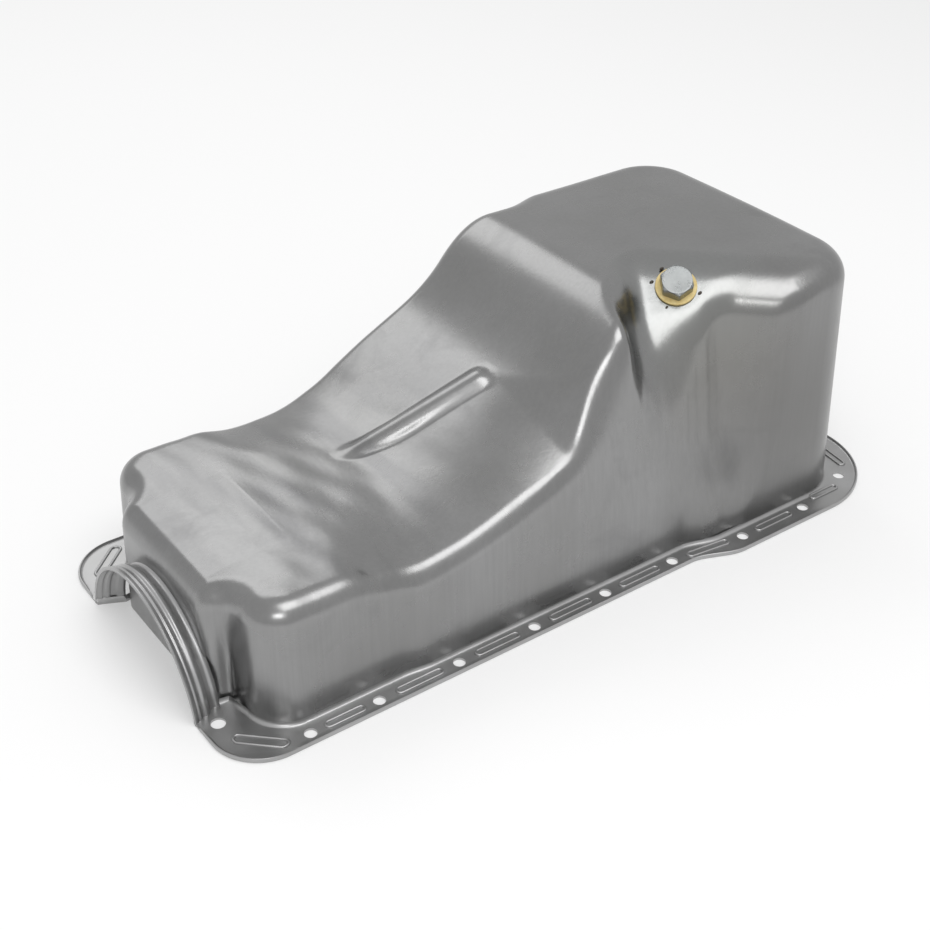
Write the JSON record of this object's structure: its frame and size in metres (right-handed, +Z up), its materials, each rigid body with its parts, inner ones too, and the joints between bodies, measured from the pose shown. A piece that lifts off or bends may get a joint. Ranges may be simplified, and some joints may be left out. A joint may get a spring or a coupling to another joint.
{
  "type": "engine oil pan",
  "caption": "Pressed steel engine oil pan with a deep sump at one end, a bolt rail, seal arches and a threaded drain plug.",
  "frame": {"origin": "centre of the pan's length and width, on the gasket face that it stands on", "axes": "+X from the arch end to the sump end, +Y across, +Z up out of the pan's bottom as it stands"},
  "size_m": [0.506, 0.254, 0.1745],
  "materials": {
    "pan_steel": "bare pressed sheet steel, satin",
    "nut_steel": "plain steel, spot welded",
    "gasket_fibre": "pale yellow fibre sealing washer",
    "plug_zinc": "zinc plated, turned face"
  },
  "bodies": {
    "pan": {"pan_body": "pan_steel", "drain_nut": "nut_steel"},
    "gasket": {"drain_gasket": "gasket_fibre"},
    "plug": {"drain_plug": "plug_zinc"}
  },
  "joints": [
    {"name": "plug_withdraw", "type": "slide", "parent": "pan", "child": "gasket", "axis": [-0.3856, -0.4436, 0.809], "range_m": [0, 0.014]},
    {"name": "plug_turn", "type": "hinge", "parent": "gasket", "child": "plug", "pos_m": [0.101, -0.051, 0.161], "axis": [-0.3856, -0.4436, 0.809], "range_deg": [0, 3968.51]}
  ],
  "couplings": [
    {"joint": "plug_turn", "follows": "plug_withdraw", "rad_per_m": 4947.4}
  ]
}
